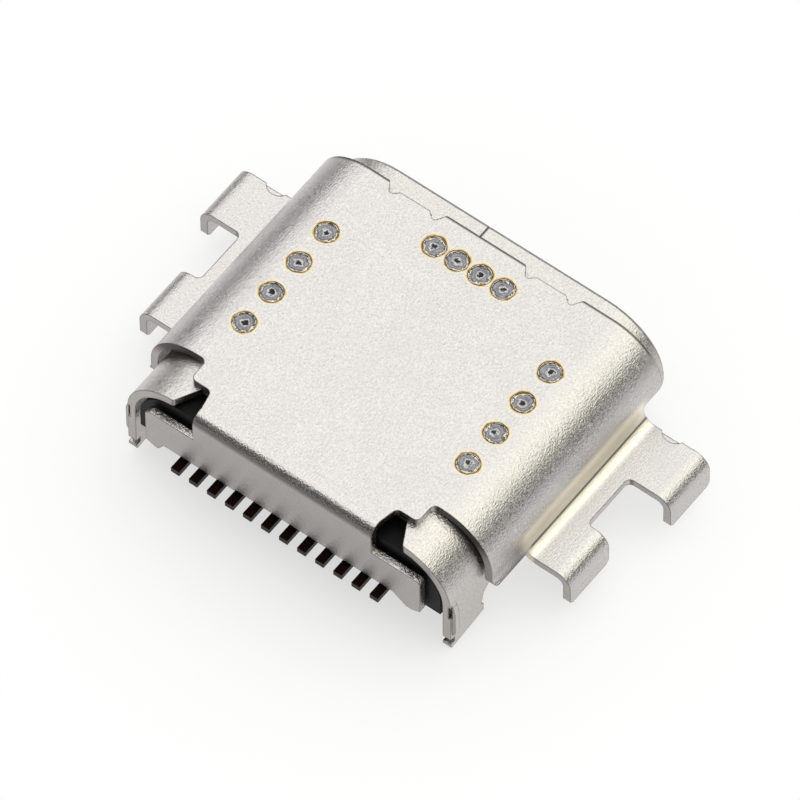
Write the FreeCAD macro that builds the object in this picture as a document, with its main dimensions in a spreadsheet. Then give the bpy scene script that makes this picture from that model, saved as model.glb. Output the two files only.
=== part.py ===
import FreeCAD, Part
import math
import os
import Sketcher

# A mid-mount reversible receptacle for a printed board, in millimetres. The origin is the
# centre of the mouth on the mating axis, +Y runs to the rear and +Z is up. The inner shell
# rests on its flat bottom, and the board meets the undersides of the flanges.

SIZES = {
    # The mouth and the inner shell.
    "opening_width": 8.34,
    "opening_height": 2.56,
    "shell_wall": 0.3,
    "section_end": 6.45,
    "band_end": 7.9,
    "band_sheet": 0.22,
    "band_corner": 1.4,
    "shell_top_end": 7.25,
    "band_inboard": 2.82,
    "band_slant": 0.34,
    "band_round": 0.08,
    "seam_offset": 0.38,
    "seam_gap": 0.03,
    "rim_chamfer": 0.07,
    "side_cut_level": -0.4,
    "side_cut_slope": 0.03,
    "shell_leg_front": 6.7,
    "shell_leg_bottom": -1.25,
    "toe_drop": 0.13,
    "nick_rise": 0.14,
    "nick_reach": 0.04,
    "barb_height": 0.34,
    "barb_depth": 0.1,
    "leg_slot_depth": 0.14,
    "leg_slot_height": 0.19,
    "toe_height": 0.16,
    "toe_round": 0.07,
    "strip_front": 7.7,
    "strip_width": 0.15,
    "strip_bulge": 0.09,
    "strip_bottom": -0.9,
    "strip_bend": 0.15,
    "strip_slope": 0.42,
    "strip_hook": 0.03,
    "strip_top": 0.42,
    "window_bottom": -0.2,
    "window_height": 0.45,
    "window_inset": 0.07,
    "window_width": 0.08,
    # The outer cover.
    "sheet": 0.2,
    "side_gap": 0.05,
    "cover_round": 1.35,
    "cover_front": 0.48,
    "wall_base": -0.05,
    "front_base": 0.32,
    "base_round": 0.12,
    "side_end": 6.72,
    "corner_inset": 3.13,
    "corner_step": 7.3,
    "fold_width": 5.12,
    "fold_taper": 0.1,
    "taper_end": 7.78,
    "corner_round": 0.14,
    "wall_face": 8.12,
    "fold_round": 0.3,
    "ear_reach": 3.79,
    "ear_top": 0.92,
    "ear_bottom": -0.34,
    "ear_left_cut": 0.12,
    "ear_right_cut": 0.06,
    "ear_foot": 0.24,
    "ear_rise": 0.1,
    "wall_bottom": -0.09,
    "relief_half_width": 1.3,
    "relief_depth": 0.05,
    "left_step": 3.37,
    "right_step": 3.23,
    "left_step_run": 0.16,
    "right_step_run": 0.36,
    "tab_spread": 1.885,
    "tab_offset": 0.12,
    "tab_width": 0.8,
    "tab_setback": 0.12,
    "notch_width": 0.39,
    "notch_depth": 0.3,
    "notch_low": 0.21,
    "notch_round": 0.08,
    "tab_drop": 0.16,
    "tab_side_gap": 0.02,
    "tab_front_gap": 0.04,
    "tab_rear_gap": 0.06,
    # The flanges and their board legs, measured outwards from the cover's sides.
    "board_level": -0.35,
    "flange_front": 1.15,
    "flange_rear": 5.54,
    "flange_waist": 0.66,
    "waist_front": 2.6,
    "waist_rear": 4.12,
    "front_reach": 1.82,
    "rear_reach": 1.26,
    "leg_bottom": -1.12,
    "leg_bend": 0.4,
    "leg_corner": 0.1,
    "wall_bend": 0.34,
    "waist_round": 0.15,
    "moon_centre": 0.78,
    "moon_radius": 0.32,
    "moon_depth": 0.16,
    "moon_sink": 0.1,
    # The laser welds on the top.
    "weld_diameter": 0.56,
    "weld_depth": 0.02,
    "weld_column": 3.09,
    "column_start": 2.43,
    "column_pitch": 0.998,
    "weld_row": 1.3,
    "row_pitch": 0.634,
    # The insulator and the tongue.
    "mouth_depth": 6.2,
    "plug_gap": 0.02,
    "tongue_gap": 0.92,
    "tongue_height": 0.7,
    "tongue_tip": 1.6,
    "tip_chamfer": 0.12,
    "root_start": 5.05,
    "root_step": 0.35,
    "root_height": 1.32,
    "carrier_end": 7.85,
    "lower_carrier_end": 6.85,
    "carrier_underside": -0.1,
    "foot_inner": 3.4,
    "foot_outer": 4.15,
    "foot_front": 6.95,
    "foot_clearance": 0.02,
    # The middle plate and the shielding plates.
    "plate_thickness": 0.12,
    "plate_edge": 0.095,
    "plate_tip": 1.75,
    "plate_root_inset": 0.05,
    "latch_start": 3.1,
    "latch_end": 3.75,
    "latch_depth": 0.3,
    "shield_lip": 0.36,
    # The contacts.
    "pitch": 0.5,
    "contact_width": 0.23,
    "contact_thickness": 0.15,
    "contact_bend": 0.06,
    "long_contact_start": 1.85,
    "short_contact_start": 2.35,
    "upper_drop": 7.45,
    "upper_tail_end": 8.42,
    "lower_tail_end": 7.3,
}
CONTACTS_PER_ROW = 12
LONG_CONTACTS = (1, 4, 9, 12)

# Reach of cutting tools past the faces that they open, and what counts as the same place
# and as a real edge when edges are looked up.
CLEAR = 1.0
NEAR = 0.001
SHORTEST_EDGE = 0.02


class Length:
    """A size as the sheet knows it and as a number, so that sums of sizes keep both."""

    def __init__(self, value, text):
        self.value = value
        self.text = text

    def __add__(self, other):
        other = length(other)
        return Length(self.value + other.value, f"({self.text} + {other.text})")

    def __sub__(self, other):
        other = length(other)
        return Length(self.value - other.value, f"({self.text} - {other.text})")

    def __mul__(self, factor):
        return Length(self.value * factor, f"({self.text} * {factor})")

    def __neg__(self):
        return Length(-self.value, f"(0 - {self.text})")


def length(size):
    return size if isinstance(size, Length) else Length(size, str(size))


doc = FreeCAD.newDocument("receptacle")
sheet = doc.addObject("Spreadsheet::Sheet", "Sizes")
S = {}
for row, (alias, number) in enumerate(SIZES.items(), 1):
    sheet.set(f"A{row}", str(number))
    sheet.setAlias(f"A{row}", alias)
    S[alias] = Length(number, f"Sizes.{alias}")
doc.recompute()


def new_body(label):
    body = doc.addObject("PartDesign::Body", label)
    body.Label = label
    return body


def new_sketch(body, name, role, lift=0):
    """A sketch on one of the body's own origin planes, raised along the plane's normal."""
    sketch = body.newObject("Sketcher::SketchObject", name)
    plane = next(f for f in body.Origin.OriginFeatures if f.Role == role)
    sketch.AttachmentSupport = [(plane, "")]
    sketch.MapMode = "FlatFace"
    sketch.setExpression("AttachmentOffset.Base.z", length(lift).text)
    return sketch


def fix(sketch, kind, *where):
    """Adds a dimension whose value follows the sheet."""
    size = length(where[-1])
    number = sketch.addConstraint(Sketcher.Constraint(kind, *where[:-1], size.value))
    sketch.setExpression(f"Constraints[{number}]", size.text)


def polygon(sketch, corners):
    corners = [(length(across), length(up)) for across, up in corners]
    points = [FreeCAD.Vector(across.value, up.value, 0) for across, up in corners]
    first = sketch.GeometryCount
    count = len(points)
    for index in range(count):
        sketch.addGeometry(Part.LineSegment(points[index], points[(index + 1) % count]))
    for index in range(count):
        following = first + (index + 1) % count
        sketch.addConstraint(Sketcher.Constraint("Coincident", first + index, 2, following, 1))
    for index, (across, up) in enumerate(corners):
        fix(sketch, "DistanceX", -1, 1, first + index, 1, across)
        fix(sketch, "DistanceY", -1, 1, first + index, 1, up)


def box(sketch, left, low, right, high):
    polygon(sketch, [(left, low), (right, low), (right, high), (left, high)])


def circle(sketch, across, up, diameter):
    across, up, diameter = length(across), length(up), length(diameter)
    centre = FreeCAD.Vector(across.value, up.value, 0)
    index = sketch.addGeometry(Part.Circle(centre, FreeCAD.Vector(0, 0, 1), diameter.value / 2))
    fix(sketch, "DistanceX", -1, 1, index, 3, across)
    fix(sketch, "DistanceY", -1, 1, index, 3, up)
    fix(sketch, "Diameter", index, diameter)


def oblong(sketch, half_width, half_height):
    """Two straight sides joined by half circles, centred on the sketch."""
    middle = half_width - half_height
    for side in (1, -1):
        centre = FreeCAD.Vector(side * middle.value, 0, 0)
        round_end = Part.Circle(centre, FreeCAD.Vector(0, 0, 1), half_height.value)
        start = -side * math.pi / 2
        sketch.addGeometry(Part.ArcOfCircle(round_end, start, start + math.pi))
    for side in (1, -1):
        ends = [FreeCAD.Vector(side * sign * middle.value, side * half_height.value, 0)
                for sign in (1, -1)]
        sketch.addGeometry(Part.LineSegment(ends[0], ends[1]))
    for arc, arc_end, line, line_end in ((0, 2, 2, 1), (2, 2, 1, 1), (1, 2, 3, 1), (3, 2, 0, 1)):
        sketch.addConstraint(Sketcher.Constraint("Tangent", arc, arc_end, line, line_end))
    for arc, side in ((0, 1), (1, -1)):
        fix(sketch, "DistanceX", -1, 1, arc, 3, middle * side)
        fix(sketch, "DistanceY", -1, 1, arc, 3, 0)
    fix(sketch, "Radius", 0, half_height)


def add(body, kind, name, sketch, reach=None, reverse=False, both_ways=False):
    """Pads or pockets a sketch by a length, or right through where no length is given."""
    feature = body.newObject(f"PartDesign::{kind}", name)
    feature.Profile = sketch
    feature.Reversed = reverse
    if both_ways:
        feature.SideType = "Symmetric"
    if reach is None:
        feature.Type = "ThroughAll"
    else:
        feature.setExpression("Length", length(reach).text)
    before = body.Shape.Volume if not body.Shape.isNull() else 0.0
    doc.recompute()
    gained = body.Shape.Volume - before
    if (gained <= 0) if kind == "Pad" else (gained >= 0):
        raise ValueError(f"{name} changes nothing")
    return feature


def edges_along(shape, axis, spots):
    """Names of the straight edges that run along X, Y or Z through the given spots."""
    along = "XYZ".index(axis)
    others = [index for index in range(3) if index != along]
    names = []
    for number, edge in enumerate(shape.Edges, 1):
        ends = [vertex.Point for vertex in edge.Vertexes]
        if len(ends) != 2 or abs(ends[0][along] - ends[1][along]) < SHORTEST_EDGE:
            continue
        for spot in spots:
            place = [length(part).value for part in spot]
            if all(abs(end[i] - at) < NEAR for end in ends for i, at in zip(others, place)):
                names.append(f"Edge{number}")
    if not names:
        raise ValueError("no edge at the given spots")
    return names


def dress(body, kind, name, names, size):
    base = body.Tip
    feature = body.newObject(f"PartDesign::{kind}", name)
    feature.Base = (base, names)
    feature.setExpression("Radius" if kind == "Fillet" else "Size", length(size).text)
    body.Tip = feature
    doc.recompute()
    return feature


def mirror(body, name, features):
    """Repeats features on the other side of the middle plane."""
    pattern = body.newObject("PartDesign::Mirrored", name)
    pattern.Originals = features
    plane = next(f for f in body.Origin.OriginFeatures if f.Role == "YZ_Plane")
    pattern.MirrorPlane = (plane, [""])
    body.Tip = pattern
    doc.recompute()
    return pattern


SHELL_HALF_WIDTH = S["opening_width"] * 0.5 + S["shell_wall"]
SHELL_HALF_HEIGHT = S["opening_height"] * 0.5 + S["shell_wall"]
PLUG_HALF_WIDTH = S["opening_width"] * 0.5 - S["plug_gap"]
PLUG_HALF_HEIGHT = S["opening_height"] * 0.5 - S["plug_gap"]
COVER_TOP = SHELL_HALF_HEIGHT + S["sheet"]
COVER_HALF_WIDTH = SHELL_HALF_WIDTH + S["side_gap"] + S["sheet"]
WAIST_OUT = COVER_HALF_WIDTH + S["flange_waist"]
FRONT_OUT = COVER_HALF_WIDTH + S["front_reach"]
REAR_OUT = COVER_HALF_WIDTH + S["rear_reach"]
FLANGE_TOP = S["board_level"] + S["sheet"]
TONGUE_HALF_WIDTH = S["opening_width"] * 0.5 - S["tongue_gap"]
PLATE_HALF_WIDTH = TONGUE_HALF_WIDTH + S["plate_edge"]
LATCH_FLOOR = PLATE_HALF_WIDTH - S["latch_depth"]
ROOT_HALF_WIDTH = TONGUE_HALF_WIDTH + S["root_step"]
TAIL_TOP = S["board_level"] + S["contact_thickness"]
HALF_PLATE = S["plate_thickness"] * 0.5


def inner_shell():
    """The drawn mating shell: a seamed oblong tube, its rear cut back to two side legs."""
    body = new_body("inner_shell")

    # The bands behind the tube are thinner than it and bent to a tighter corner.
    band = new_sketch(body, "band_outside", "XZ_Plane", -S["section_end"])
    box(band, -SHELL_HALF_WIDTH, S["side_cut_level"], SHELL_HALF_WIDTH, SHELL_HALF_HEIGHT)
    add(body, "Pad", "bands", band, S["band_end"] - S["section_end"], reverse=True)
    hollow = new_sketch(body, "band_inside", "XZ_Plane", -S["section_end"])
    hollow_half = SHELL_HALF_WIDTH - S["band_sheet"]
    hollow_top = SHELL_HALF_HEIGHT - S["band_sheet"]
    box(hollow, -hollow_half, S["side_cut_level"] - CLEAR, hollow_half, hollow_top)
    add(body, "Pocket", "band_bore", hollow, both_ways=True)
    inner_corners = edges_along(body.Shape, "Y", [
        (hollow_half, hollow_top), (-hollow_half, hollow_top)])
    dress(body, "Fillet", "band_inner_rounds", inner_corners, S["band_corner"] - S["band_sheet"])
    outer_corners = edges_along(body.Shape, "Y", [
        (SHELL_HALF_WIDTH, SHELL_HALF_HEIGHT), (-SHELL_HALF_WIDTH, SHELL_HALF_HEIGHT)])
    dress(body, "Fillet", "band_outer_rounds", outer_corners, S["band_corner"])

    outside = new_sketch(body, "shell_outside", "XZ_Plane")
    oblong(outside, SHELL_HALF_WIDTH, SHELL_HALF_HEIGHT)
    add(body, "Pad", "shell_tube", outside, S["section_end"], reverse=True)
    inside = new_sketch(body, "shell_inside", "XZ_Plane")
    oblong(inside, SHELL_HALF_WIDTH - S["shell_wall"], SHELL_HALF_HEIGHT - S["shell_wall"])
    add(body, "Pocket", "shell_bore", inside, both_ways=True)

    rim = [f"Edge{number}" for number, edge in enumerate(body.Shape.Edges, 1)
           if edge.BoundBox.YMax < S["rim_chamfer"].value]
    dress(body, "Chamfer", "mouth_rim", rim, S["rim_chamfer"])

    # The bands' top is cut away behind, all but a slanted end on each side.
    rear = new_sketch(body, "rear_top_cut", "XY_Plane", SHELL_HALF_HEIGHT + CLEAR)
    slant_end = S["band_inboard"] + S["band_slant"]
    polygon(rear, [
        (-S["band_inboard"], S["shell_top_end"]), (S["band_inboard"], S["shell_top_end"]),
        (slant_end, S["band_end"]), (slant_end, S["band_end"] + CLEAR),
        (-slant_end, S["band_end"] + CLEAR), (-slant_end, S["band_end"]),
    ])
    add(body, "Pocket", "rear_top", rear, SHELL_HALF_HEIGHT + CLEAR)
    band_corners = edges_along(body.Shape, "Z", [
        (slant_end, S["band_end"]), (-slant_end, S["band_end"])])
    dress(body, "Fillet", "band_corners", band_corners, S["band_round"])

    # The butt seam runs the whole length of the top, beside the middle.
    seam = new_sketch(body, "seam_cut", "XY_Plane", SHELL_HALF_HEIGHT + CLEAR)
    box(seam, S["seam_offset"] - S["seam_gap"] * 0.5, -S["sheet"],
        S["seam_offset"] + S["seam_gap"] * 0.5, S["shell_top_end"] + S["sheet"])
    add(body, "Pocket", "seam", seam, SHELL_HALF_HEIGHT + CLEAR)

    # Two slots take the turned-down tab tips of the cover.
    slots = new_sketch(body, "tab_slot_cuts", "XY_Plane", SHELL_HALF_HEIGHT + CLEAR)
    for side in (1, -1):
        middle = S["tab_spread"] * side + S["tab_offset"]
        half = S["tab_width"] * 0.5 + S["tab_side_gap"]
        tip = S["cover_front"] + S["tab_setback"]
        box(slots, middle - half, tip - S["tab_front_gap"],
            middle + half, tip + S["sheet"] + S["tab_rear_gap"])
    add(body, "Pocket", "tab_slots", slots, SHELL_HALF_HEIGHT + CLEAR)

    # Each side carries a flat board leg with a nick in front, a slot and a toe.
    leg = new_sketch(body, "leg_outline", "YZ_Plane", hollow_half)
    nick_level = S["shell_leg_bottom"] + S["barb_height"]
    toe_bottom = S["shell_leg_bottom"] - S["toe_drop"]
    toe_top = toe_bottom + S["toe_height"]
    slot_top = toe_top + S["leg_slot_height"]
    slot_front = S["band_end"] - S["leg_slot_depth"]
    polygon(leg, [
        (S["section_end"], 0.0),
        (S["section_end"], S["side_cut_level"]),
        (S["section_end"] + S["barb_depth"], S["side_cut_level"] - S["side_cut_slope"]),
        (S["shell_leg_front"], nick_level + S["barb_height"]),
        (S["shell_leg_front"] + S["nick_reach"], nick_level + S["nick_rise"]),
        (S["shell_leg_front"] + S["barb_depth"], nick_level),
        (S["shell_leg_front"], nick_level - S["barb_depth"]),
        (S["shell_leg_front"], S["shell_leg_bottom"]),
        (S["band_end"], toe_bottom), (S["band_end"], toe_top),
        (slot_front, toe_top), (slot_front, slot_top), (S["band_end"], slot_top),
        (S["band_end"], 0.0),
    ])
    plate = add(body, "Pad", "leg_plate", leg, S["band_sheet"])

    # A strip of the leg's rear edge is bulged outwards and leaves a window beside it.
    strip = new_sketch(body, "strip_outline", "XZ_Plane", -S["strip_front"])
    outer = SHELL_HALF_WIDTH + S["strip_bulge"]
    polygon(strip, [
        (hollow_half, S["strip_bottom"]), (SHELL_HALF_WIDTH, S["strip_bottom"]),
        (outer, S["strip_bottom"] + S["strip_bend"]), (outer, S["strip_top"] - S["strip_slope"]),
        (SHELL_HALF_WIDTH - S["strip_hook"], S["strip_top"]), (hollow_half, S["strip_top"]),
    ])
    bulge = add(body, "Pad", "leg_strip", strip, S["strip_width"], reverse=True)
    window = new_sketch(body, "window_outline", "XZ_Plane", -S["strip_front"])
    window_wall = SHELL_HALF_WIDTH - S["window_inset"]
    box(window, window_wall, S["window_bottom"],
        window_wall + S["window_width"], S["window_bottom"] + S["window_height"])
    opening = add(body, "Pocket", "leg_window", window, S["band_end"] - S["strip_front"])
    mirror(body, "other_leg", [plate, bulge, opening])
    toes = edges_along(body.Shape, "X", [(S["band_end"], toe_bottom)])
    dress(body, "Fillet", "toe_rounds", toes, S["toe_round"])
    return body


def outer_cover():
    """The cover pressed from one sheet: top, rounded sides, folded rear wall and flanges."""
    body = new_body("outer_cover")
    front = S["cover_front"]
    outside = new_sketch(body, "cover_outside", "XZ_Plane", -front)
    box(outside, -COVER_HALF_WIDTH, S["wall_base"], COVER_HALF_WIDTH, COVER_TOP)
    add(body, "Pad", "cover_block", outside, S["wall_face"] - front, reverse=True)
    inside = new_sketch(body, "cover_inside", "XZ_Plane", -front)
    inner_half = COVER_HALF_WIDTH - S["sheet"]
    inner_top = COVER_TOP - S["sheet"]
    box(inside, -inner_half, S["wall_base"] - CLEAR, inner_half, inner_top)
    add(body, "Pocket", "cover_bore", inside, both_ways=True)
    inner_edges = edges_along(body.Shape, "Y",
                              [(inner_half, inner_top), (-inner_half, inner_top)])
    dress(body, "Fillet", "inner_rounds", inner_edges, S["cover_round"] - S["sheet"])
    outer_edges = edges_along(body.Shape, "Y", [
        (COVER_HALF_WIDTH, COVER_TOP), (-COVER_HALF_WIDTH, COVER_TOP)])
    dress(body, "Fillet", "side_rounds", outer_edges, S["cover_round"])

    # Ahead of the flanges the side walls stop higher up, with rounded corners.
    raised = new_sketch(body, "front_base_cut", "YZ_Plane")
    box(raised, front - CLEAR, S["wall_base"] - CLEAR, S["flange_front"], S["front_base"])
    add(body, "Pocket", "front_base", raised, both_ways=True)
    base_corners = edges_along(body.Shape, "X", [
        (front, S["front_base"]), (S["flange_front"], S["front_base"])])
    dress(body, "Fillet", "front_base_rounds", base_corners, S["base_round"])

    # The rear corners are cut away in two steps.
    half_fold = S["fold_width"] * 0.5
    half_wall = half_fold - S["fold_taper"]
    corners = new_sketch(body, "corner_cuts", "XY_Plane", COVER_TOP + CLEAR)
    for side in (1, -1):
        polygon(corners, [
            (half_wall * side, S["wall_face"] + CLEAR), (half_wall * side, S["taper_end"]),
            (half_fold * side, S["corner_step"]),
            (S["corner_inset"] * side, S["corner_step"]),
            (S["corner_inset"] * side, S["side_end"]),
            ((COVER_HALF_WIDTH + CLEAR) * side, S["side_end"]),
            ((COVER_HALF_WIDTH + CLEAR) * side, S["wall_face"] + CLEAR),
        ])
    add(body, "Pocket", "rear_corners", corners)

    # The rear wall folds down from the middle of the top, with an ear on each side.
    wall = new_sketch(body, "wall_outline", "XZ_Plane", -(S["wall_face"] - S["sheet"]))
    low = S["wall_bottom"]
    foot = S["ear_bottom"]
    ear = S["ear_reach"]
    relief = S["relief_half_width"]
    polygon(wall, [
        (-half_wall, COVER_TOP), (-half_wall, S["ear_top"]),
        (-ear + S["ear_right_cut"], S["ear_top"]), (-ear, S["ear_top"] - S["ear_right_cut"]),
        (-ear, foot + S["ear_rise"]), (-ear + S["ear_foot"], foot),
        (-S["right_step"] - S["right_step_run"] * 0.5, foot),
        (-S["right_step"] + S["right_step_run"] * 0.5, low),
        (-relief - S["relief_depth"], low), (-relief, low + S["relief_depth"]),
        (relief, low + S["relief_depth"]), (relief + S["relief_depth"], low),
        (S["left_step"] - S["left_step_run"] * 0.5, low),
        (S["left_step"] + S["left_step_run"] * 0.5, foot),
        (ear - S["ear_foot"], foot), (ear, foot + S["ear_rise"]),
        (ear, S["ear_top"] - S["ear_left_cut"]), (ear - S["ear_left_cut"], S["ear_top"]),
        (half_wall, S["ear_top"]), (half_wall, COVER_TOP),
    ])
    add(body, "Pad", "rear_wall", wall, S["sheet"], reverse=True)
    fold = edges_along(body.Shape, "X", [(S["wall_face"], COVER_TOP)])
    dress(body, "Fillet", "fold_outside", fold, S["fold_round"])
    fold = edges_along(body.Shape, "X", [(S["wall_face"] - S["sheet"], inner_top)])
    dress(body, "Fillet", "fold_inside", fold, S["fold_round"] - S["sheet"])
    step_corners = [(side * x, y) for side in (1, -1) for x, y in (
        (half_fold.value, S["corner_step"].value),
        (S["corner_inset"].value, S["corner_step"].value),
        (S["corner_inset"].value, S["side_end"].value))]
    dress(body, "Fillet", "corner_rounds", edges_along(body.Shape, "Z", step_corners),
          S["corner_round"])
    skirt_corners = edges_along(body.Shape, "X", [(S["side_end"], S["wall_base"])])
    dress(body, "Fillet", "skirt_rounds", skirt_corners, S["base_round"])

    # The front edge has two tabs, each set back between two rounded notches.
    front_cut = new_sketch(body, "front_notches", "XY_Plane", COVER_TOP + CLEAR)
    half_tab = S["tab_width"] * 0.5
    tab_edge = front + S["tab_setback"]
    entry = half_tab + S["notch_width"]
    low_at = half_tab + S["notch_low"]
    low_edge = front + S["notch_depth"]
    rounded = []
    for side in (1, -1):
        middle = S["tab_spread"] * side + S["tab_offset"]
        polygon(front_cut, [
            (middle - entry, front - CLEAR), (middle - entry, front), (middle - low_at, low_edge),
            (middle - half_tab, tab_edge), (middle + half_tab, tab_edge),
            (middle + low_at, low_edge), (middle + entry, front), (middle + entry, front - CLEAR),
        ])
        for reach, depth in ((entry, front), (low_at, low_edge)):
            rounded += [(middle - reach, depth), (middle + reach, depth)]
    add(body, "Pocket", "front_tabs", front_cut, S["sheet"] + CLEAR * 2)
    dress(body, "Fillet", "notch_rounds", edges_along(body.Shape, "Z", rounded), S["notch_round"])
    tips = new_sketch(body, "tab_tips", "XY_Plane", inner_top - S["tab_drop"])
    for side in (1, -1):
        middle = S["tab_spread"] * side + S["tab_offset"]
        box(tips, middle - half_tab, tab_edge, middle + half_tab, tab_edge + S["sheet"])
    add(body, "Pad", "tips", tips, S["tab_drop"] + S["sheet"] * 0.5)

    # Shallow craters where the cover is laser welded to the shell.
    craters = new_sketch(body, "weld_spots", "XY_Plane", COVER_TOP)
    for side in (1, -1):
        for step in range(4):
            circle(craters, S["weld_column"] * side,
                   S["column_start"] + S["column_pitch"] * step, S["weld_diameter"])
        for step in (0.5, 1.5):
            circle(craters, S["row_pitch"] * (side * step), S["weld_row"], S["weld_diameter"])
    add(body, "Pocket", "welds", craters, S["weld_depth"])

    # Flanges turn out from the sides, and each ends in two legs bent down into the board.
    web = new_sketch(body, "flange_section", "XZ_Plane", -S["flange_front"])
    polygon(web, [
        (inner_half, S["wall_base"] + S["sheet"]), (COVER_HALF_WIDTH, S["wall_base"] + S["sheet"]),
        (COVER_HALF_WIDTH, FLANGE_TOP), (WAIST_OUT, FLANGE_TOP),
        (WAIST_OUT, S["board_level"]), (inner_half, S["board_level"]),
    ])
    parts = [add(body, "Pad", "flange", web, S["flange_rear"] - S["flange_front"], reverse=True)]
    for name, start, end, reach in (
            ("front_tab", S["flange_front"], S["waist_front"], FRONT_OUT),
            ("rear_tab", S["waist_rear"], S["flange_rear"], REAR_OUT)):
        tab = new_sketch(body, f"{name}_section", "XZ_Plane", -start)
        root = WAIST_OUT - S["sheet"]
        polygon(tab, [
            (root, FLANGE_TOP), (reach, FLANGE_TOP), (reach, S["leg_bottom"]),
            (reach - S["sheet"], S["leg_bottom"]), (reach - S["sheet"], S["board_level"]),
            (root, S["board_level"]),
        ])
        parts.append(add(body, "Pad", name, tab, end - start, reverse=True))
    mirror(body, "other_flange", parts)

    both = (1, -1)
    bends = edges_along(body.Shape, "Y", [
        (side * reach.value, FLANGE_TOP) for side in both
        for reach in (FRONT_OUT, REAR_OUT)])
    dress(body, "Fillet", "leg_bends", bends, S["leg_bend"])
    inner_bends = edges_along(body.Shape, "Y", [
        (side * (reach.value - S["sheet"].value), S["board_level"]) for side in both
        for reach in (FRONT_OUT, REAR_OUT)])
    dress(body, "Fillet", "inner_leg_bends", inner_bends, S["leg_bend"] - S["sheet"])
    wall_bends = edges_along(body.Shape, "Y", [
        (side * COVER_HALF_WIDTH.value, FLANGE_TOP) for side in both])
    dress(body, "Fillet", "wall_bends", wall_bends, S["wall_bend"])
    lower_bends = edges_along(body.Shape, "Y", [
        (side * inner_half.value, S["board_level"]) for side in both])
    dress(body, "Fillet", "lower_wall_bends", lower_bends, S["wall_bend"] + S["sheet"])
    waists = edges_along(body.Shape, "Z", [
        (side * WAIST_OUT.value, at) for side in both
        for at in (S["waist_front"], S["waist_rear"])])
    dress(body, "Fillet", "waist_rounds", waists, S["waist_round"])
    leg_tips = edges_along(body.Shape, "X", [
        (at, S["leg_bottom"]) for at in (S["flange_front"], S["waist_front"],
                                         S["waist_rear"], S["flange_rear"])])
    dress(body, "Chamfer", "leg_tips", leg_tips, S["leg_corner"])

    # Half-moon steps in the flanges' front edges, where the strip was cut off.
    moons = new_sketch(body, "moon_cuts", "XY_Plane", FLANGE_TOP + CLEAR)
    for side in both:
        circle(moons, (COVER_HALF_WIDTH + S["moon_centre"]) * side,
               S["flange_front"] + S["moon_depth"] - S["moon_radius"], S["moon_radius"] * 2)
    add(body, "Pocket", "moons", moons, S["moon_sink"] + CLEAR)
    return body


def upper_contact(number, across):
    """A contact of the upper row, stepped down to a tail that runs out behind."""
    body = new_body(f"contact_a{number:02d}")
    start = S["long_contact_start"] if number in LONG_CONTACTS else S["short_contact_start"]
    top = S["tongue_height"] * 0.5
    low = top - S["contact_thickness"]
    drop = S["upper_drop"]
    profile = new_sketch(body, f"upper_profile_{number:02d}", "YZ_Plane")
    polygon(profile, [
        (start, low), (drop, low), (drop, S["board_level"]),
        (S["upper_tail_end"], S["board_level"]), (S["upper_tail_end"], TAIL_TOP),
        (drop + S["contact_thickness"], TAIL_TOP), (drop + S["contact_thickness"], top),
        (start, top),
    ])
    add(body, "Pad", f"upper_strip_{number:02d}", profile, S["contact_width"], both_ways=True)
    back = drop + S["contact_thickness"]
    hollows = edges_along(body.Shape, "X", [(drop, low), (back, TAIL_TOP)])
    dress(body, "Fillet", f"upper_inner_bends_{number:02d}", hollows, S["contact_bend"])
    backs = edges_along(body.Shape, "X", [(drop, S["board_level"]), (back, top)])
    dress(body, "Fillet", f"upper_outer_bends_{number:02d}", backs,
          S["contact_bend"] + S["contact_thickness"])
    body.setExpression("Placement.Base.x", across.text)
    return body


def lower_contact(number, across):
    """A straight contact of the lower row, whose tail ends under the housing."""
    body = new_body(f"contact_b{number:02d}")
    start = S["long_contact_start"] if number in LONG_CONTACTS else S["short_contact_start"]
    profile = new_sketch(body, f"lower_profile_{number:02d}", "YZ_Plane")
    box(profile, start, S["board_level"], S["lower_tail_end"], TAIL_TOP)
    add(body, "Pad", f"lower_strip_{number:02d}", profile, S["contact_width"], both_ways=True)
    body.setExpression("Placement.Base.x", across.text)
    return body


def mid_plate():
    """The steel plate in the middle of the tongue, notched for the plug's side latches."""
    body = new_body("mid_plate")
    outline = new_sketch(body, "plate_outline", "XY_Plane")
    half = PLATE_HALF_WIDTH
    root = TONGUE_HALF_WIDTH - S["plate_root_inset"]
    side = [
        (half, S["plate_tip"]), (half, S["latch_start"]), (LATCH_FLOOR, S["latch_start"]),
        (LATCH_FLOOR, S["latch_end"]), (half, S["latch_end"]), (half, S["root_start"]),
        (root, S["root_start"]), (root, S["lower_carrier_end"]),
    ]
    polygon(outline, side + [(-across, along) for across, along in reversed(side)])
    add(body, "Pad", "plate", outline, S["plate_thickness"], both_ways=True)
    return body


def shield(label, up):
    """A thin steel shield over one face of the tongue's root."""
    body = new_body(label)
    section = new_sketch(body, f"{label}_section", "XZ_Plane", -S["root_start"])
    inner = ROOT_HALF_WIDTH
    outer = inner + S["plate_thickness"]
    low = S["root_height"] * 0.5
    high = low + S["plate_thickness"]
    lip = low - S["shield_lip"]
    polygon(section, [(across, level * up) for across, level in (
        (-outer, lip), (-outer, high), (outer, high), (outer, lip),
        (inner, lip), (inner, low), (-inner, low), (-inner, lip))])
    add(body, "Pad", f"{label}_sheet", section, S["mouth_depth"] - S["root_start"], reverse=True)
    return body


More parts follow.
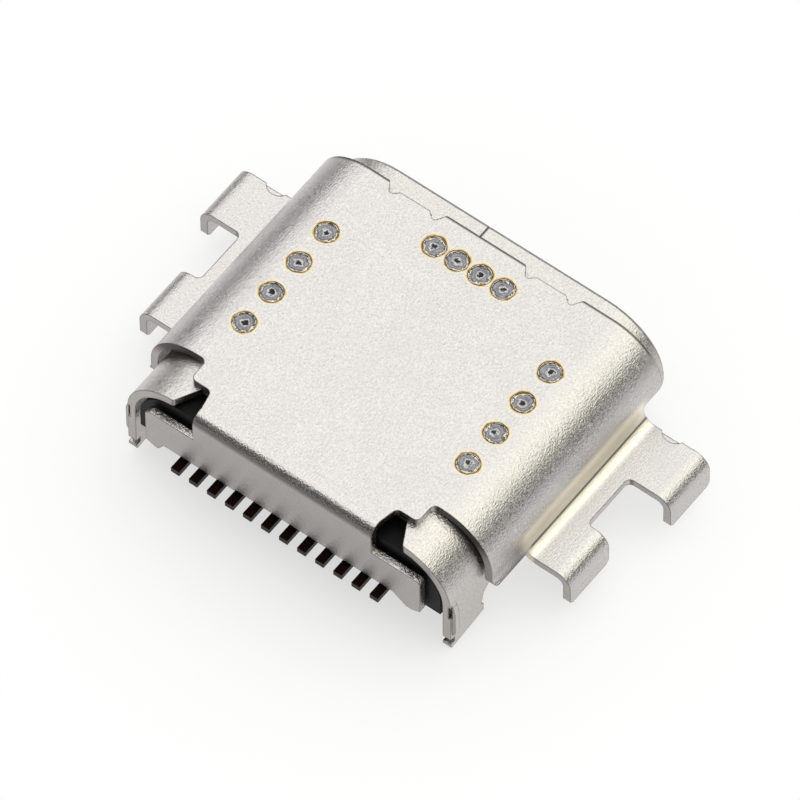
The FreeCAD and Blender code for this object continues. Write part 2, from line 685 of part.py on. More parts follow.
def tongue_blank():
    """The tongue, its thicker root and the plug that closes the shell behind the mouth."""
    body = new_body("tongue_blank")
    tongue = new_sketch(body, "tongue_section", "XZ_Plane", -S["tongue_tip"])
    half = S["tongue_height"] * 0.5
    box(tongue, -TONGUE_HALF_WIDTH, -half, TONGUE_HALF_WIDTH, half)
    add(body, "Pad", "tongue", tongue, S["mouth_depth"] - S["tongue_tip"], reverse=True)
    tip = edges_along(body.Shape, "X", [(S["tongue_tip"], half), (S["tongue_tip"], -half)])
    dress(body, "Chamfer", "tip_chamfers", tip, S["tip_chamfer"])
    root = new_sketch(body, "root_section", "XZ_Plane", -S["root_start"])
    box(root, -ROOT_HALF_WIDTH, S["root_height"] * -0.5,
        ROOT_HALF_WIDTH, S["root_height"] * 0.5)
    add(body, "Pad", "root", root, S["mouth_depth"] - S["root_start"], reverse=True)
    plug = new_sketch(body, "plug_section", "XZ_Plane", -S["mouth_depth"])
    oblong(plug, PLUG_HALF_WIDTH, PLUG_HALF_HEIGHT)
    add(body, "Pad", "plug", plug, S["section_end"] - S["mouth_depth"], reverse=True)
    latches = new_sketch(body, "latch_cuts", "XY_Plane", half + CLEAR)
    for side in (1, -1):
        box(latches, LATCH_FLOOR * side, S["latch_start"],
            (TONGUE_HALF_WIDTH + CLEAR) * side, S["latch_end"])
    add(body, "Pocket", "latches", latches)
    return body


def carrier_blank(label, end, keep_above):
    """Half of the insulator behind the plug, above or below the middle plate."""
    body = new_body(label)
    section = new_sketch(body, f"{label}_section", "XZ_Plane", -S["section_end"])
    if keep_above:
        box(section, -PLUG_HALF_WIDTH, -PLUG_HALF_HEIGHT, PLUG_HALF_WIDTH, PLUG_HALF_HEIGHT)
    else:
        oblong(section, PLUG_HALF_WIDTH, PLUG_HALF_HEIGHT)
    add(body, "Pad", f"{label}_block", section, end - S["section_end"], reverse=True)
    if keep_above:
        shoulders = edges_along(body.Shape, "Y", [
            (PLUG_HALF_WIDTH, PLUG_HALF_HEIGHT), (-PLUG_HALF_WIDTH, PLUG_HALF_HEIGHT)])
        dress(body, "Fillet", f"{label}_shoulders", shoulders,
              S["band_corner"] - SHELL_HALF_WIDTH + PLUG_HALF_WIDTH)
    cut = new_sketch(body, f"{label}_cut", "YZ_Plane")
    front = S["section_end"] - CLEAR
    if keep_above:
        polygon(cut, [
            (front, HALF_PLATE), (S["lower_carrier_end"], HALF_PLATE),
            (S["lower_carrier_end"], S["carrier_underside"]),
            (end + CLEAR, S["carrier_underside"]),
            (end + CLEAR, -PLUG_HALF_HEIGHT - CLEAR), (front, -PLUG_HALF_HEIGHT - CLEAR),
        ])
    else:
        box(cut, front, -HALF_PLATE, end + CLEAR, PLUG_HALF_HEIGHT + CLEAR)
    add(body, "Pocket", f"{label}_half", cut, both_ways=True)
    return body


def add_feet(body):
    """Two feet stand just clear of the board beside the tails."""
    feet = new_sketch(body, "feet_outline", "XY_Plane", S["board_level"] + S["foot_clearance"])
    for side in (1, -1):
        box(feet, S["foot_inner"] * side, S["foot_front"],
            S["foot_outer"] * side, S["carrier_end"])
    add(body, "Pad", "feet", feet, HALF_PLATE - S["board_level"])


def moulded_round(label, blank, inserts):
    """A moulding with the room that its metal inserts take."""
    tool = doc.addObject("Part::Compound", f"{label}_inserts")
    tool.Links = inserts
    moulding = doc.addObject("Part::Cut", label)
    moulding.Label = label
    moulding.Base = blank
    moulding.Tool = tool
    doc.recompute()
    return moulding


nodes = [inner_shell(), outer_cover()]
uppers = []
lowers = []
for number in range(1, CONTACTS_PER_ROW + 1):
    place = S["pitch"] * (number - (CONTACTS_PER_ROW + 1) / 2)
    uppers.append(upper_contact(number, place))
    lowers.append(lower_contact(number, place))
plate = mid_plate()
upper_blank = carrier_blank("upper_blank", S["carrier_end"], True)
add_feet(upper_blank)
lower_blank = carrier_blank("lower_blank", S["lower_carrier_end"], False)
nodes += uppers + lowers + [plate, shield("upper_emi_plate", 1), shield("lower_emi_plate", -1)]
nodes += [
    moulded_round("tongue_overmould", tongue_blank(), uppers + lowers + [plate]),
    moulded_round("upper_carrier", upper_blank, uppers),
    moulded_round("lower_carrier", lower_blank, lowers),
]

doc.recompute()
for item in doc.Objects:
    if "Invalid" in item.State or "Error" in item.State:
        raise ValueError(f"{item.Label} failed")
os.makedirs("parts", exist_ok=True)
for node in nodes:
    if node.Shape.isNull() or not node.Shape.isValid() or len(node.Shape.Solids) != 1:
        raise ValueError(f"{node.Label} is not one sound solid")
    node.Shape.exportStep(f"parts/{node.Label}.step")
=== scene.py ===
import bpy
import math
from mathutils import Matrix, Vector


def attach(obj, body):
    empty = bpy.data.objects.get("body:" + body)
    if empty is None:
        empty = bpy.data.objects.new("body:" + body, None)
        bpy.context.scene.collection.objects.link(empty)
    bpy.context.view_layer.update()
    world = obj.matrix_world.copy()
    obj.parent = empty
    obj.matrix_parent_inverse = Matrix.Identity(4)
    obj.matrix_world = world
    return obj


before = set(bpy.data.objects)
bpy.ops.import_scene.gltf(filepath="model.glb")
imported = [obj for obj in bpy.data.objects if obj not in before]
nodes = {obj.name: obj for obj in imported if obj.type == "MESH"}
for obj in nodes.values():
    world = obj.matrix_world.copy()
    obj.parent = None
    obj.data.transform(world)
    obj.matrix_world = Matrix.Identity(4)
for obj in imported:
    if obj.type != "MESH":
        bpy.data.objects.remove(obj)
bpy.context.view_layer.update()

# Camera: a long lens about 30 cm away, above and behind the socket, so that the
# rear wall, the tails and both flanges show, as a product shot of a small part.
# Its place and lens were fitted to pairs of points that mirror each other.
MM = 0.001
CAMERA_AZIMUTH = math.radians(217.7245)
CAMERA_HEIGHT = math.radians(56.6572)
CAMERA_ROLL = math.radians(-0.6774)
CAMERA_DISTANCE = 295.52 * MM
CAMERA_AIM = Vector((-0.3417, 4.2808, 0.4)) * MM
SENSOR_WIDTH = 36
PICTURE_PIXELS = 800
FOCAL_PIXELS = 13396.78
NEAREST_SEEN = 0.01
FARTHEST_SEEN = 10
towards = Vector((math.cos(CAMERA_HEIGHT) * math.sin(CAMERA_AZIMUTH),
                  -math.cos(CAMERA_HEIGHT) * math.cos(CAMERA_AZIMUTH),
                  math.sin(CAMERA_HEIGHT)))
lens = bpy.data.cameras.new("camera")
lens.sensor_width = SENSOR_WIDTH
lens.lens = FOCAL_PIXELS * SENSOR_WIDTH / PICTURE_PIXELS
lens.clip_start = NEAREST_SEEN
lens.clip_end = FARTHEST_SEEN
camera = bpy.data.objects.new("camera", lens)
bpy.context.scene.collection.objects.link(camera)
turn = towards.to_track_quat("Z", "Y").to_matrix() @ Matrix.Rotation(CAMERA_ROLL, 3, "Z")
camera.matrix_world = Matrix.Translation(CAMERA_AIM + towards * CAMERA_DISTANCE) @ turn.to_4x4()
bpy.context.scene.camera = camera
bpy.context.scene.view_settings.view_transform = "Standard"

# Table and light: a white table top under two soft lamps that hang side by side,
# a cool and a warm one, and a weak third one low in front of the mouth. The room
# is plain grey, which the rounded sides of the metal reflect.
TABLE_RADIUS = 0.6
TABLE_TOP = -1.581
TABLE_SIDES = 96
PART_MIDDLE = 4.2
NEAR_PAPER = 4.5
FAR_PAPER = 11.0
NEAR_WHITENESS = 0.65


def linear(code):
    """A sRGB hex colour as linear red, green, blue and alpha."""
    parts = [int(code[i:i + 2], 16) / 255 for i in (0, 2, 4)]
    return [p / 12.92 if p <= 0.04045 else ((p + 0.055) / 1.055) ** 2.4 for p in parts] + [1.0]


def put(tree, kind, settings=None, links=None):
    """Adds a node, sets its properties and sockets, and links its sockets."""
    node = tree.nodes.new(kind)
    for key, value in (settings or {}).items():
        if isinstance(key, str) and hasattr(node, key):
            setattr(node, key, value)
        else:
            node.inputs[key].default_value = value
    for key, source in (links or {}).items():
        tree.links.new(source, node.inputs[key])
    return node


bpy.ops.object.select_all(action="DESELECT")
bpy.ops.mesh.primitive_circle_add(vertices=TABLE_SIDES, radius=TABLE_RADIUS, fill_type="NGON",
                                  location=(0, 0, TABLE_TOP * MM))
table = bpy.context.object
table.name = "table_top"
white = bpy.data.materials.new("white_paper")
white.use_nodes = True
tree = white.node_tree
tree.nodes.clear()
# Painted light: to camera, glossy and transmission rays the paper glows white, at a share that grows from
# 0.65 at 4.5 mm from the part's middle to full at 11 mm, so that its real shadow and a darker reflection of
# it show only near the part.
path = put(tree, "ShaderNodeLightPath")
seen = put(tree, "ShaderNodeMath", {"operation": "MAXIMUM"},
           {0: path.outputs["Is Camera Ray"], 1: path.outputs["Is Glossy Ray"]})
seen = put(tree, "ShaderNodeMath", {"operation": "MAXIMUM"},
           {0: seen.outputs[0], 1: path.outputs["Is Transmission Ray"]})
where = put(tree, "ShaderNodeTexCoord")
apart = put(tree, "ShaderNodeVectorMath", {"operation": "DISTANCE", 1: (0, PART_MIDDLE * MM, 0)},
            {0: where.outputs["Object"]})
glow_by_distance = put(tree, "ShaderNodeMapRange",
            {"interpolation_type": "SMOOTHSTEP", 1: NEAR_PAPER * MM, 2: FAR_PAPER * MM,
             3: NEAR_WHITENESS, 4: 1.0},
            {0: apart.outputs["Value"]})
share = put(tree, "ShaderNodeMath", {"operation": "MULTIPLY"}, {0: seen.outputs[0], 1: glow_by_distance.outputs[0]})
paper = put(tree, "ShaderNodeBsdfDiffuse", {"Color": linear("F4F4F4")})
glow = put(tree, "ShaderNodeEmission", {"Color": linear("FFFFFF"), "Strength": 1.0})
mixed = put(tree, "ShaderNodeMixShader", None,
            {0: share.outputs[0], 1: paper.outputs[0], 2: glow.outputs[0]})
put(tree, "ShaderNodeOutputMaterial", None, {"Surface": mixed.outputs[0]})
table.data.materials.append(white)


def softbox(name, place, size, power, colour, tilt=0.0):
    """A flat soft lamp at place that shines down, or towards the rear by its tilt."""
    light = bpy.data.lights.new(name, "AREA")
    light.shape = "RECTANGLE"
    light.size = size[0]
    light.size_y = size[1]
    light.energy = power
    light.color = linear(colour)[:3]
    lamp = bpy.data.objects.new(name, light)
    lamp.location = place
    lamp.rotation_euler.x = math.radians(tilt)
    bpy.context.scene.collection.objects.link(lamp)


softbox("lamp_cool_half", place=(0.37, -0.15, 0.40), size=(0.74, 0.75), power=2.48, colour="FEFFFF")
softbox("lamp_warm_half", place=(-0.29, -0.15, 0.40), size=(0.58, 0.75), power=2.26, colour="FFFEF3")
softbox("lamp_front_fill", place=(0.0, -0.45, 0.10), size=(0.50, 0.22), power=0.40, colour="FFFFFF",
        tilt=78.0)
room = bpy.data.worlds.new("studio")
bpy.context.scene.world = room
room.use_nodes = True
room.node_tree.nodes["Background"].inputs["Color"].default_value = linear("666964")
room.node_tree.nodes["Background"].inputs["Strength"].default_value = 1.0

# Outer cover: pressed from 0.2 mm stainless sheet that was bead blasted, so it
# has a pale, slightly warm satin face with fine grit marks. Twelve laser welds
# hold it to the shell inside and leave thin golden rings of heat tint.
WELD_COLUMN_X = 3.09
WELD_COLUMN_FIRST_Y = 2.43
WELD_COLUMN_STEP = 0.998
WELD_ROW_Y = 1.3
WELD_ROW_STEP = 0.634
COVER_TOP = 1.78
CRATER_RADIUS = 0.28
weld_spots = [(side * WELD_COLUMN_X, WELD_COLUMN_FIRST_Y + i * WELD_COLUMN_STEP)
              for side in (-1, 1) for i in range(4)]
weld_spots += [((i - 1.5) * WELD_ROW_STEP, WELD_ROW_Y) for i in range(4)]

# The grit marks and the painted shade, in mm, or as the cosine of a face's turn. Faces that turn to the rear
# get painted shade by their turn, and are rougher there.
ROLLING_STRETCH = 0.55
PITS_PER_GRIT = 1.6
PIT_DEPTH = 0.35
CLOUD_SIZE = 1.2
CLOUD_RANGE = (0.3, 0.7)
EDGE_RADIUS = 0.045
EDGE_TURN = (0.998, 0.88)
EDGE_SHADE = 0.75
SMOOTHEST = -0.04
ROUGHEST = 0.05
REAR_FACING_SHADE = ((0.62, 0.0), (0.72, 0.15), (0.82, 0.62), (0.91, 0.78), (0.966, 0.72), (0.996, 0.48),
                 (1.0, 0.25))
REAR_FACING_ROUGHENS = 0.16
REAR_FACING_TURN = (0.8, 1.0)


def bare_finish(name, metallic):
    """A new material, its node tree, its shader and the place on the piece."""
    material = bpy.data.materials.new(name)
    material.use_nodes = True
    tree = material.node_tree
    shader = tree.nodes["Principled BSDF"]
    shader.inputs["Metallic"].default_value = metallic
    return material, tree, shader, put(tree, "ShaderNodeTexCoord").outputs["Object"]


def blasted_steel(name, bright, dull, grit_mm, rough, slope_mm):
    """Bead-blasted stainless sheet: metal with fine grit marks drawn out along the rolling direction and
    faint clouding, with painted shade along its rounded edges and on faces turned to the rear."""
    material, tree, shader, where = bare_finish(name, metallic=1.0)
    drawn = put(tree, "ShaderNodeMapping", {"Scale": (1.0, ROLLING_STRETCH, 1.0)}, {"Vector": where})
    grit = put(tree, "ShaderNodeTexNoise", {"Scale": 1 / (grit_mm * MM), "Detail": 2.0, "Roughness": 0.55},
               {"Vector": drawn.outputs["Vector"]})
    pits = put(tree, "ShaderNodeTexVoronoi", {"Scale": 1 / (PITS_PER_GRIT * grit_mm * MM)},
               {"Vector": drawn.outputs["Vector"]})
    cloud = put(tree, "ShaderNodeTexNoise", {"Scale": 1 / (CLOUD_SIZE * MM), "Detail": 4.0},
                {"Vector": where})
    tone = put(tree, "ShaderNodeMix", {"data_type": "RGBA", 6: linear(dull), 7: linear(bright)},
               {0: grit.outputs[0]})
    polish = put(tree, "ShaderNodeMapRange",
                 {1: CLOUD_RANGE[0], 2: CLOUD_RANGE[1], 3: rough + SMOOTHEST, 4: rough + ROUGHEST},
                 {0: cloud.outputs[0]})
    edge = put(tree, "ShaderNodeBevel", {"samples": 12, "Radius": EDGE_RADIUS * MM})
    relief = put(tree, "ShaderNodeMath", {"operation": "MULTIPLY_ADD", 1: PIT_DEPTH},
                 {0: pits.outputs["Distance"], 2: grit.outputs[0]})
    marks = put(tree, "ShaderNodeBump", {"Strength": 1.0, "Distance": slope_mm * MM},
                {"Height": relief.outputs[0], "Normal": edge.outputs[0]})
    tree.links.new(marks.outputs[0], shader.inputs["Normal"])
    # Painted shade along rounded edges: where the bevelled normal turns away from the face, the colour goes
    # towards dark grey.
    face = put(tree, "ShaderNodeNewGeometry")
    turned = put(tree, "ShaderNodeVectorMath", {"operation": "DOT_PRODUCT"},
                 {0: edge.outputs[0], 1: face.outputs["Normal"]})
    edge_shade_share = put(tree, "ShaderNodeMapRange", {1: EDGE_TURN[0], 2: EDGE_TURN[1], 3: 0.0, 4: EDGE_SHADE},
                 {0: turned.outputs["Value"]})
    painted_shade = put(tree, "ShaderNodeMix", {"data_type": "RGBA", 7: linear("66635E")},
               {0: edge_shade_share.outputs[0], 6: tone.outputs[2]})
    # Painted shade on faces turned to the rear, by how far they turn.
    facing = put(tree, "ShaderNodeSeparateXYZ", None, {0: face.outputs["Normal"]})
    rear_facing_shade = put(tree, "ShaderNodeValToRGB", None, {0: facing.outputs["Y"]})
    stops = rear_facing_shade.color_ramp.elements
    stops[0].position = REAR_FACING_SHADE[0][0]
    stops[1].position = REAR_FACING_SHADE[-1][0]
    for position, grey in REAR_FACING_SHADE[1:-1]:
        stops.new(position)
    for stop, (position, grey) in zip(stops, REAR_FACING_SHADE):
        stop.color = (grey, grey, grey, 1)
    painted_shade = put(tree, "ShaderNodeMix", {"data_type": "RGBA", 7: linear("4E4B47")},
               {0: rear_facing_shade.outputs[0], 6: painted_shade.outputs[2]})
    coarser = put(tree, "ShaderNodeMapRange",
                  {1: REAR_FACING_TURN[0], 2: REAR_FACING_TURN[1], 3: 0.0, 4: REAR_FACING_ROUGHENS},
                  {0: facing.outputs["Y"]})
    satin = put(tree, "ShaderNodeMath", {"operation": "ADD"}, {0: polish.outputs[0], 1: coarser.outputs[0]})
    tree.links.new(satin.outputs[0], shader.inputs["Roughness"])
    tree.links.new(painted_shade.outputs[2], shader.inputs["Base Color"])
    return material, tree, shader, where, painted_shade, satin


def patch(tree, *edges, share=None):
    """The soft share of a sheet that lies inside its edges. Each edge is a place and
    the two values in mm between which the share grows from nothing to full."""
    for place, (empty, full) in edges:
        inside = put(tree, "ShaderNodeMapRange",
                     {"interpolation_type": "SMOOTHSTEP", 1: empty * MM, 2: full * MM}, {0: place})
        if share is None:
            share = inside.outputs[0]
        else:
            share = put(tree, "ShaderNodeMath", {"operation": "MULTIPLY"},
                        {0: share, 1: inside.outputs[0]}).outputs[0]
    return share


def dress(finish, *names):
    """Gives CAD pieces their finish."""
    for name in names:
        nodes[name].data.materials.clear()
        nodes[name].data.materials.append(finish)


cover_steel, tree, shader, where, tone, satin = blasted_steel(
    "bead_blasted_stainless_cover", bright="DEDAD8", dull="A4A09F", grit_mm=0.030, rough=0.25,
    slope_mm=0.0115)
spot = put(tree, "ShaderNodeSeparateXYZ", None, {0: where})
aside = put(tree, "ShaderNodeMath", {"operation": "ABSOLUTE"}, {0: spot.outputs["X"]}).outputs[0]
along = spot.outputs["Y"]
height = spot.outputs["Z"]

# Painted highlight: the inside of each side bend is mixed towards pale warm white, for the light it catches,
# and made rougher. Painted shade: a thin dark line runs along each.
BEND_HIGHLIGHT_INNER = (4.50, 4.66)
BEND_HIGHLIGHT_OUTER = (5.04, 4.90)
BEND_HIGHLIGHT_TOP = (0.66, 0.40)
BEND_HIGHLIGHT_FRONT = (0.9, 1.3)
BEND_HIGHLIGHT_REAR = (5.8, 5.4)
BEND_HIGHLIGHT_BLUR = 0.25
SHADE_LINE_X = 4.80
SHADE_LINE_HALF_WIDTH = 0.03
SHADE_LINE_TOP = (0.3, 0.1)
SHADE_LINE_REAR = (5.6, 5.3)
bend_highlight = patch(tree, (aside, BEND_HIGHLIGHT_INNER), (aside, BEND_HIGHLIGHT_OUTER), (height, BEND_HIGHLIGHT_TOP),
                  (along, BEND_HIGHLIGHT_FRONT), (along, BEND_HIGHLIGHT_REAR))
# Painted highlight: pale warm white in the side bends.
painted_highlight = put(tree, "ShaderNodeMix", {"data_type": "RGBA", 7: linear("FBF5E8")},
            {0: bend_highlight, 6: tone.outputs[2]})
broad = put(tree, "ShaderNodeMath", {"operation": "MULTIPLY_ADD", 1: BEND_HIGHLIGHT_BLUR},
            {0: bend_highlight, 2: satin.outputs[0]})
tree.links.new(broad.outputs[0], shader.inputs["Roughness"])
# Painted shade: a thin dark line along the crease of each side bend.
shade_line = patch(tree, (aside, (SHADE_LINE_X - SHADE_LINE_HALF_WIDTH, SHADE_LINE_X)),
               (aside, (SHADE_LINE_X + SHADE_LINE_HALF_WIDTH, SHADE_LINE_X)), (height, SHADE_LINE_TOP), (along, SHADE_LINE_REAR))
lined = put(tree, "ShaderNodeMix", {"data_type": "RGBA", 7: linear("7C7465")},
            {0: shade_line, 6: painted_highlight.outputs[2]})

# Painted shade: the sheared edges of the rear corners go towards near black for the gap beneath them, and a
# dark line is painted along the rounded-over front edge.
SHEARED_TURN = (0.90, 0.97)
SHEARED_SHADE_SHARE = 0.85
CORNER_FRONT = (6.3, 6.5)
CORNER_REAR = (8.0, 7.9)
CORNER_FOOT = (0.7, 1.3)
ROUNDED_REAR = (0.555, 0.510)
ROUNDED_FOOT = (1.2, 1.5)
upright = put(tree, "ShaderNodeSeparateXYZ", None, {0: put(tree, "ShaderNodeNewGeometry").outputs["Normal"]})
sheared = put(tree, "ShaderNodeMapRange", {1: SHEARED_TURN[0], 2: SHEARED_TURN[1], 4: SHEARED_SHADE_SHARE},
              {0: upright.outputs["Y"]})
corner_shade = patch(tree, (along, CORNER_FRONT), (along, CORNER_REAR), (height, CORNER_FOOT),
               share=sheared.outputs[0])
# Painted shade on the sheared edges of the rear corners.
dark = put(tree, "ShaderNodeMix", {"data_type": "RGBA", 7: linear("2A261F")},
           {0: corner_shade, 6: lined.outputs[2]})
# Painted shade: a dark line along the rounded front edge.
rounded = patch(tree, (along, ROUNDED_REAR), (height, ROUNDED_FOOT))
tone = put(tree, "ShaderNodeMix", {"data_type": "RGBA", 7: linear("64625E")},
           {0: rounded, 6: dark.outputs[2]})

# Heat tint: straw at the outside of each ring and brown next to the weld, with a
# slightly uneven outline.
TINT_RING = (0.375, 0.30)
TINT_SHARE = 0.85
BROWN_RING = (0.32, 0.275)
OUTLINE_WAVE = 0.22
OUTLINE_SHIFT = 0.06
nearest = None
for spot_x, spot_y in weld_spots:
    gap = put(tree, "ShaderNodeVectorMath",
              {"operation": "DISTANCE", 1: (spot_x * MM, spot_y * MM, COVER_TOP * MM)},
              {0: where}).outputs["Value"]
    nearest = gap if nearest is None else put(
        tree, "ShaderNodeMath", {"operation": "MINIMUM"}, {0: nearest, 1: gap}).outputs[0]
wobble = put(tree, "ShaderNodeTexNoise", {"Scale": 1 / (OUTLINE_WAVE * MM), "Detail": 3.0},
             {"Vector": where})
shift = put(tree, "ShaderNodeMath",
            {"operation": "MULTIPLY_ADD", 1: 2 * OUTLINE_SHIFT * MM, 2: -OUTLINE_SHIFT * MM},
            {0: wobble.outputs[0]})
reach = put(tree, "ShaderNodeMath", {"operation": "ADD"}, {0: nearest, 1: shift.outputs[0]})
tint = put(tree, "ShaderNodeMapRange",
           {"interpolation_type": "SMOOTHSTEP", 1: TINT_RING[0] * MM, 2: TINT_RING[1] * MM, 4: TINT_SHARE},
           {0: reach.outputs[0]})
brown = put(tree, "ShaderNodeMapRange", {1: BROWN_RING[0] * MM, 2: BROWN_RING[1] * MM},
            {0: reach.outputs[0]})
oxide = put(tree, "ShaderNodeMix", {"data_type": "RGBA", 6: linear("D6C69C"), 7: linear("80603A")},
            {0: brown.outputs[0]})
golden = put(tree, "ShaderNodeMix", {"data_type": "RGBA"},
             {0: tint.outputs[0], 6: tone.outputs[2], 7: oxide.outputs[2]})
tree.links.new(golden.outputs[2], shader.inputs["Base Color"])
dress(cover_steel, "outer_cover")

# Weld spots: where the laser pulse melted both sheets, the metal froze in fine
# rings round a small pit. Each lies in its shallow crater of the cover. A ring is
# a step inwards and a rise in mm, and a tone is its share of the radius.
WELD_RADIUS = CRATER_RADIUS - 0.004
WELD_THICKNESS = 0.010
WELD_HEIGHT = COVER_TOP - 0.0140
WELD_SIDES = 40
WELD_RINGS = ((0.010, 0.006), (0.014, 0.000), (0.012, -0.013), (0.024, 0.003), (0.020, -0.003),
              (0.024, 0.004), (0.020, -0.004), (0.030, 0.006), (0.034, 0.002), (0.024, 0.002),
              (0.018, -0.009), (0.016, -0.003))
# The tones are partly the metal's own: mottled greys in the rings and straw and brown heat tint at the
# outside. The rest is painted light: the dark pit and the dark ring inside the lip are painted shade, and
# the light ring round the pit and the pale lip are painted highlights.
WELD_TONES_AND_LIGHT = ((0.00, "2C2A2C"), (0.20, "3E3C3F"), (0.28, "C4C2C1"), (0.38, "88878A"), (0.50, "6B6A6E"),
              (0.62, "929193"), (0.76, "67666A"), (0.83, "434244"), (0.89, "DAD7D0"), (0.95, "C9BFA8"),
              (1.00, "8A6C46"))
FROTH_SIZE = 0.13
FROTH_RELIEF = 0.016
RAGGEDNESS = 0.55
SMOOTH_ANGLE = math.radians(12)
FACING_UP = 0.9
WELD_TURN = 2.4
WELD_SQUEEZE = 0.03
PIT_TURN = 1.9
PIT_SHIFT = 0.022
PIT_REACH = 0.8
remelted, tree, shader, where = bare_finish("remelted_stainless", metallic=1.0)
shader.inputs["Roughness"].default_value = 0.28
froth = put(tree, "ShaderNodeTexNoise", {"Scale": 1 / (FROTH_SIZE * MM), "Detail": 4.0, "Roughness": 0.6},
            {"Vector": where})
outwards = put(tree, "ShaderNodeAttribute", {"attribute_name": "outwards"})
ragged = put(tree, "ShaderNodeMath", {"operation": "MULTIPLY_ADD", 1: 2 * RAGGEDNESS, 2: -RAGGEDNESS},
             {0: froth.outputs[0]})
ring = put(tree, "ShaderNodeMath", {"operation": "ADD"}, {0: outwards.outputs["Fac"], 1: ragged.outputs[0]})
weld_tones_and_light = put(tree, "ShaderNodeValToRGB", None, {0: ring.outputs[0]})
stops = weld_tones_and_light.color_ramp.elements
for position, code in WELD_TONES_AND_LIGHT[1:-1]:
    stops.new(position)
for stop, (position, code) in zip(stops, WELD_TONES_AND_LIGHT):
    stop.color = linear(code)
tree.links.new(weld_tones_and_light.outputs[0], shader.inputs["Base Color"])
skin = put(tree, "ShaderNodeBump", {"Strength": 1.0, "Distance": FROTH_RELIEF * MM},
           {"Height": froth.outputs[0]})
tree.links.new(skin.outputs[0], shader.inputs["Normal"])

bpy.ops.object.select_all(action="DESELECT")
bpy.ops.mesh.primitive_cylinder_add(vertices=WELD_SIDES, radius=WELD_RADIUS * MM,
                                    depth=WELD_THICKNESS * MM, end_fill_type="NGON", location=(0, 0, 0))
first_weld = bpy.context.object
bpy.ops.object.mode_set(mode="EDIT")
bpy.ops.mesh.select_mode(type="FACE")
bpy.ops.mesh.select_all(action="DESELECT")
bpy.ops.object.mode_set(mode="OBJECT")
for polygon in first_weld.data.polygons:
    polygon.select = polygon.normal.z > FACING_UP
bpy.ops.object.mode_set(mode="EDIT")
for inward, rise in WELD_RINGS:
    bpy.ops.mesh.inset(thickness=inward * MM, depth=rise * MM)
bpy.ops.mesh.poke()
bpy.ops.object.mode_set(mode="OBJECT")
bpy.ops.object.shade_smooth_by_angle(angle=SMOOTH_ANGLE)
outwards = first_weld.data.attributes.new("outwards", "FLOAT", "POINT")
for vertex in first_weld.data.vertices:
    outwards.data[vertex.index].value = math.hypot(vertex.co.x, vertex.co.y) / (WELD_RADIUS * MM)
for number, (spot_x, spot_y) in enumerate(weld_spots, start=1):
    weld = first_weld.copy()
    weld.data = first_weld.data.copy()
    weld.name = f"weld_spot_{number:02d}"
    width = 1.0 - WELD_SQUEEZE * math.sin(WELD_TURN * number) ** 2
    pit = Vector((math.cos(PIT_TURN * number), math.sin(PIT_TURN * number), 0)) * PIT_SHIFT * MM
    for vertex in weld.data.vertices:
        vertex.co += pit * max(0.0, 1.0 - vertex.co.xy.length / (PIT_REACH * WELD_RADIUS * MM))
    weld.data.transform(Matrix.Translation(Vector((spot_x, spot_y, WELD_HEIGHT)) * MM)
                        @ Matrix.Rotation(WELD_TURN * number, 4, "Z")
                        @ Matrix.Diagonal((width, 1.0, 1.0, 1.0)))
    weld.data.materials.append(remelted)
    bpy.context.scene.collection.objects.link(weld)
    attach(weld, "root")
bpy.data.objects.remove(first_weld)

# Inner shell: formed from thicker stainless strip with its butt seam on top, and welded to the cover. It has
# the same blasting, and its cut rim round the mouth gets painted shade, a dark grey line.
RIM_REAR = (0.10, 0.05)
shell_steel, tree, shader, where, tone, satin = blasted_steel(
    "bead_blasted_stainless_shell", bright="DDD9D6", dull="A6A29F", grit_mm=0.030, rough=0.25,
    slope_mm=0.0115)
depth = put(tree, "ShaderNodeSeparateXYZ", None, {0: where})
# Painted shade: a dark line along the rim round the mouth.
rim = patch(tree, (depth.outputs["Y"], RIM_REAR))
tone = put(tree, "ShaderNodeMix", {"data_type": "RGBA", 7: linear("6A6865")}, {0: rim, 6: tone.outputs[2]})
tree.links.new(tone.outputs[2], shader.inputs["Base Color"])
dress(shell_steel, "inner_shell")

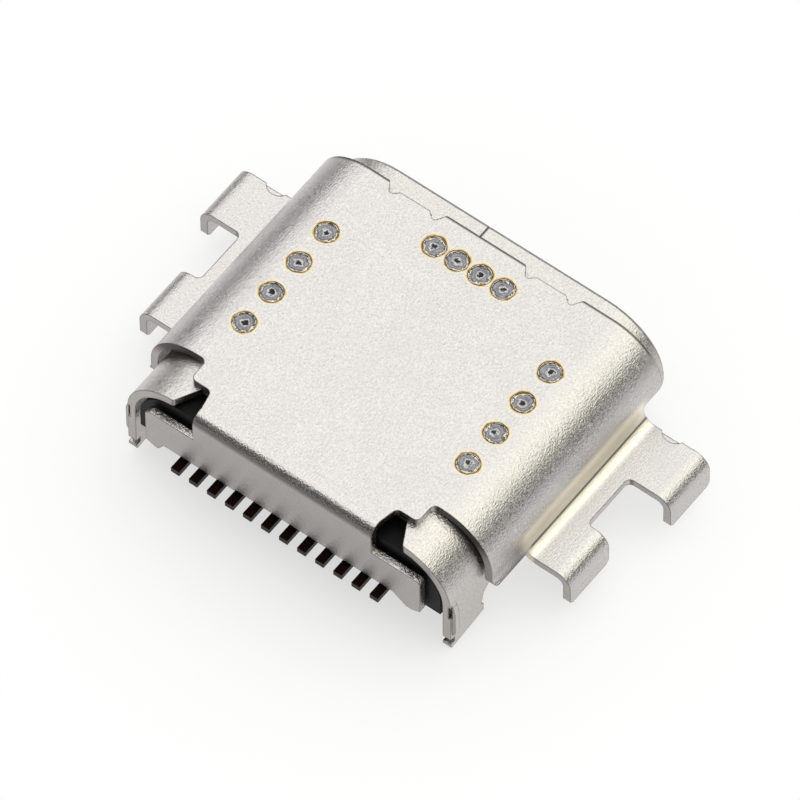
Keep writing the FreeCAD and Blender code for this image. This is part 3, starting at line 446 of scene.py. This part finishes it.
# Insulator: the tongue and the two carriers, of black liquid-crystal polymer that
# was moulded round the contacts and the middle plate. It is matt, and its flow
# texture is drawn coarser than it is, so that it shows.
FLOW_SIZE = 0.06
FLOW_RELIEF = 0.01
insulator, tree, shader, where = bare_finish("moulded_black_polymer", metallic=0.0)
flow = put(tree, "ShaderNodeTexNoise", {"Scale": 1 / (FLOW_SIZE * MM), "Detail": 3.0}, {"Vector": where})
tone = put(tree, "ShaderNodeMix", {"data_type": "RGBA", 6: linear("050506"), 7: linear("0E0E10")},
           {0: flow.outputs[0]})
tree.links.new(tone.outputs[2], shader.inputs["Base Color"])
shader.inputs["Roughness"].default_value = 0.5
shader.inputs["Specular IOR Level"].default_value = 0.14
grain = put(tree, "ShaderNodeBump", {"Strength": 0.3, "Distance": FLOW_RELIEF * MM},
            {"Height": flow.outputs[0]})
tree.links.new(grain.outputs[0], shader.inputs["Normal"])
dress(insulator, "tongue_overmould", "upper_carrier", "lower_carrier")

# Plates: the notched plate in the middle of the tongue and the two shields round
# its root, stamped from bright rolled stainless strip and moulded in or pressed on.
# The rolled grain is drawn coarser than it is, so that it shows.
plate_steel = blasted_steel("rolled_stainless_plate", bright="CFCFCF", dull="B0B0B0", grit_mm=0.04,
                            rough=0.30, slope_mm=0.002)[0]
dress(plate_steel, "mid_plate", "upper_emi_plate", "lower_emi_plate")

# Contacts: two rows of twelve, stamped from copper alloy strip and moulded into the insulator. They are gold
# at the tongue and go nearly black towards the tails. Their drawing marks are coarser than the real ones, so
# that they show.
GOLD_TO_DARK = (6.0, 7.4)
DRAW_MARKS = 0.05
contact_metal, tree, shader, where = bare_finish("plated_copper_alloy", metallic=1.0)
place = put(tree, "ShaderNodeSeparateXYZ", None, {0: where})
rear = put(tree, "ShaderNodeMapRange", {1: GOLD_TO_DARK[0] * MM, 2: GOLD_TO_DARK[1] * MM},
           {0: place.outputs["Y"]})
draw = put(tree, "ShaderNodeTexNoise", {"Scale": 1 / (DRAW_MARKS * MM), "Detail": 3.0}, {"Vector": where})
plated = put(tree, "ShaderNodeMix", {"data_type": "RGBA", 6: linear("C79A45"), 7: linear("E0B865")},
             {0: draw.outputs[0]})
tails = put(tree, "ShaderNodeMix", {"data_type": "RGBA", 6: linear("120C0A"), 7: linear("2C1A12")},
            {0: draw.outputs[0]})
tone = put(tree, "ShaderNodeMix", {"data_type": "RGBA"},
           {0: rear.outputs[0], 6: plated.outputs[2], 7: tails.outputs[2]})
tree.links.new(tone.outputs[2], shader.inputs["Base Color"])
shader.inputs["Roughness"].default_value = 0.4
dress(contact_metal, *[name for name in nodes if name.startswith("contact_")])
